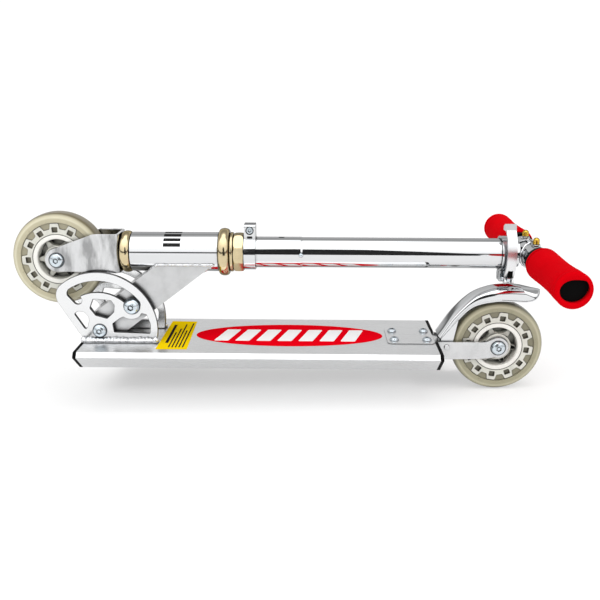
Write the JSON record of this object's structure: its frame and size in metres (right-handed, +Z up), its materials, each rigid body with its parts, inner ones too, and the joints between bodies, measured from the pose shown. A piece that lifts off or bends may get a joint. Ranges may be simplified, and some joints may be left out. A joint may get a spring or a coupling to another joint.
{
  "type": "kick scooter",
  "caption": "Folding aluminium kick scooter, folded: hexagonal deck, slotted fold plates, chrome column with quick release, foam T-bar grips and clear wheels with toothed cores.",
  "frame": {"origin": "midway between the two axles in the folded state, in the middle plane, at the lowest point of the rear tyre", "axes": "+X towards the rear of the scooter, +Y towards the rider's right, +Z up"},
  "size_m": [0.5654, 0.298, 0.1913],
  "materials": {
    "satin_aluminium": "satin, extruded",
    "satin_steel": "satin zinc-grey stamped steel",
    "chrome": "polished plating",
    "gold_zinc": "pale gold zinc plating",
    "zinc": "bluish zinc plating",
    "brass": "polished",
    "black_plastic": "matt",
    "core_plastic": "moulded, off-white",
    "clear_tyre": "translucent cast polyurethane",
    "red_foam": "fine closed-cell foam",
    "nylon": "plain"
  },
  "bodies": {
    "deck": {"deck_extrusion": "satin_aluminium", "front_end_cap": "black_plastic", "rear_end_cap": "black_plastic", "screw_plate": "satin_aluminium", "deck_screw_1": "zinc", "deck_screw_2": "zinc", "deck_screw_3": "zinc", "deck_screw_4": "zinc", "fold_plate_left": "chrome", "fold_plate_right": "chrome", "fold_pivot_bolt": "zinc", "fold_pivot_nut": "zinc", "fold_washer_left": "nylon", "fold_washer_right": "nylon", "rear_bracket": "satin_steel", "rear_axle_bolt": "zinc", "rear_axle_nut": "zinc", "brake_hinge_pin": "zinc", "brake_spring": "satin_steel"},
    "head": {"down_tube": "satin_aluminium", "head_tube": "chrome", "lower_headset_cup": "gold_zinc", "upper_headset_cup": "gold_zinc", "lock_spring": "satin_steel"},
    "lock_pin": {"lock_pin_bolt": "zinc", "lock_pin_nut": "zinc"},
    "steering": {"fork": "satin_steel", "steerer_tube": "satin_steel", "headset_adjuster": "gold_zinc", "headset_locknut": "gold_zinc", "stem_collar": "chrome", "stem_collar_bolt": "zinc", "column_tube": "chrome", "column_rivet": "zinc", "qr_collar": "chrome", "qr_bolt": "zinc", "qr_nut": "zinc", "front_axle_bolt": "zinc", "front_axle_nut": "zinc"},
    "qr_lever": {"qr_lever": "chrome", "qr_lever_pin": "zinc"},
    "handlebar": {"inner_tube": "chrome", "cross_tube": "chrome", "cross_tube_ferrule_left": "black_plastic", "cross_tube_ferrule_right": "black_plastic"},
    "handle_left": {"handle_tube_left": "chrome", "grip_left": "red_foam"},
    "handle_right": {"handle_tube_right": "chrome", "grip_right": "red_foam"},
    "button_left": {"handle_button_left": "brass"},
    "button_right": {"handle_button_right": "brass"},
    "fender": {"fender_brake": "chrome"},
    "front_wheel": {"front_tyre": "clear_tyre", "front_wheel_core": "core_plastic", "front_bearing_left": "satin_steel", "front_bearing_right": "satin_steel"},
    "rear_wheel": {"rear_tyre": "clear_tyre", "rear_wheel_core": "core_plastic", "rear_bearing_left": "satin_steel", "rear_bearing_right": "satin_steel"}
  },
  "joints": [
    {"name": "fold_hinge", "type": "hinge", "parent": "deck", "child": "head", "pos_m": [-0.1909, 0, 0.068], "axis": [0, -1, 0], "range_deg": [0, 85]},
    {"name": "lock_pin_slide", "type": "slide", "parent": "head", "child": "lock_pin", "axis": [0.7934, 0, 0.6088], "range_m": [-0.0052, 0]},
    {"name": "steering_turn", "type": "hinge", "parent": "head", "child": "steering", "pos_m": [-0.1, 0, 0.1491], "axis": [1, 0, 0], "range_deg": [-8, 8]},
    {"name": "front_wheel_spin", "type": "hinge", "parent": "steering", "child": "front_wheel", "pos_m": [-0.2337, 0, 0.1423], "axis": [0, 1, 0], "continuous": true},
    {"name": "rear_wheel_spin", "type": "hinge", "parent": "deck", "child": "rear_wheel", "pos_m": [0.2337, 0, 0.049], "axis": [0, 1, 0], "continuous": true},
    {"name": "fender_press", "type": "hinge", "parent": "deck", "child": "fender", "pos_m": [0.1785, 0, 0.05], "axis": [0, 1, 0], "range_deg": [0, 10], "stiffness_Nm_per_rad": 2, "springref_deg": -5.73},
    {"name": "height_slide", "type": "slide", "parent": "steering", "child": "handlebar", "axis": [1, 0, 0], "range_m": [0, 0.18]},
    {"name": "qr_lever_open", "type": "hinge", "parent": "steering", "child": "qr_lever", "pos_m": [0.2375, -0.015, 0.1256], "axis": [1, 0, 0], "range_deg": [0, 110]},
    {"name": "handle_left_slide", "type": "slide", "parent": "handlebar", "child": "handle_left", "axis": [0, -1, 0], "range_m": [0, 0.06]},
    {"name": "handle_right_slide", "type": "slide", "parent": "handlebar", "child": "handle_right", "axis": [0, 1, 0], "range_m": [0, 0.06]},
    {"name": "button_left_press", "type": "slide", "parent": "handlebar", "child": "button_left", "axis": [0, 0, -1], "range_m": [0, 0.004], "stiffness_N_per_m": 300},
    {"name": "button_right_press", "type": "slide", "parent": "handlebar", "child": "button_right", "axis": [0, 0, -1], "range_m": [0, 0.004], "stiffness_N_per_m": 300}
  ]
}
